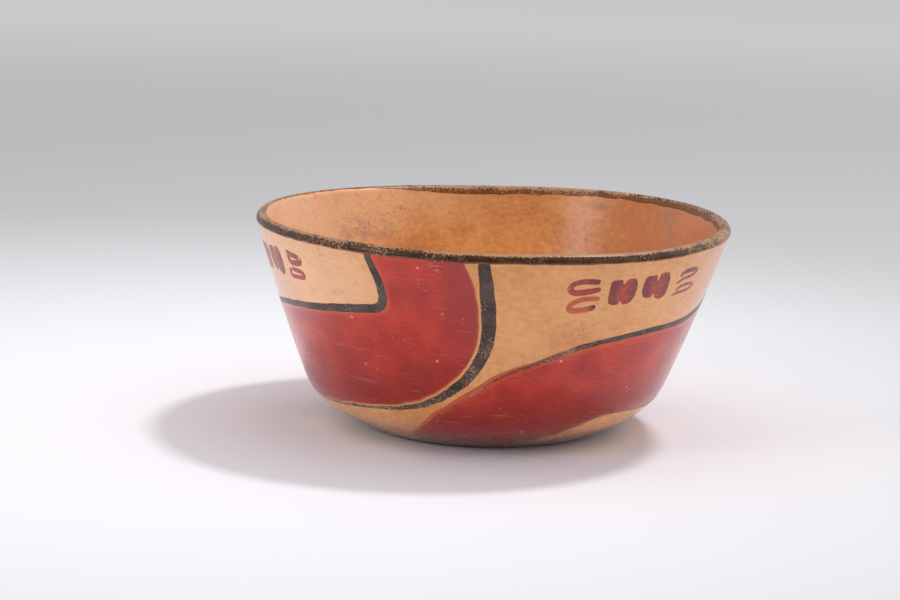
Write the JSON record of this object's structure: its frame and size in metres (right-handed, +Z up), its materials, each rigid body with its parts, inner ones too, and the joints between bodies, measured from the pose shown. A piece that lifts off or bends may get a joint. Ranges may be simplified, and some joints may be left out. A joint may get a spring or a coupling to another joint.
{
  "type": "painted pottery bowl",
  "caption": "Flat-footed flaring bowl, hand-built from a clay slab and coils, burnished, with red panels, dark lines, a dark rim band and small brush marks in slip.",
  "frame": {"origin": "middle of the flat foot, on the surface that the bowl stands on", "axes": "+Z up out of the mouth, -Y towards the side that the picture shows, +X to that view's right"},
  "size_m": [0.2274, 0.2324, 0.1032],
  "materials": {
    "clay": "tan-orange burnished earthenware, deeper orange inside",
    "red_slip": "burnished brick-red slip with an orange edge",
    "dark_slip": "brown-black slip, worn in specks",
    "rim_slip": "brown-black slip on the lip, rubbed through to the clay in places",
    "mark_slip": "thin purple-red slip of uneven density"
  },
  "bodies": {
    "root": {"base_slab": "clay", "heel_coil": "clay", "lower_wall_coil": "clay", "upper_wall_coil": "clay", "rim_coil": "clay", "rim_band": "rim_slip", "red_panel_1": "red_slip", "step_line_1": "dark_slip", "curl_line_1": "dark_slip", "upper_hook_1": "mark_slip", "lower_hook_1": "mark_slip", "upper_loop_1": "mark_slip", "lower_loop_1": "mark_slip", "first_block_1": "mark_slip", "second_block_1": "mark_slip", "red_panel_2": "red_slip", "step_line_2": "dark_slip", "curl_line_2": "dark_slip", "upper_hook_2": "mark_slip", "lower_hook_2": "mark_slip", "upper_loop_2": "mark_slip", "lower_loop_2": "mark_slip", "first_block_2": "mark_slip", "second_block_2": "mark_slip", "red_panel_3": "red_slip", "step_line_3": "dark_slip", "curl_line_3": "dark_slip", "upper_hook_3": "mark_slip", "lower_hook_3": "mark_slip", "upper_loop_3": "mark_slip", "lower_loop_3": "mark_slip", "first_block_3": "mark_slip", "second_block_3": "mark_slip"}
  },
  "joints": []
}
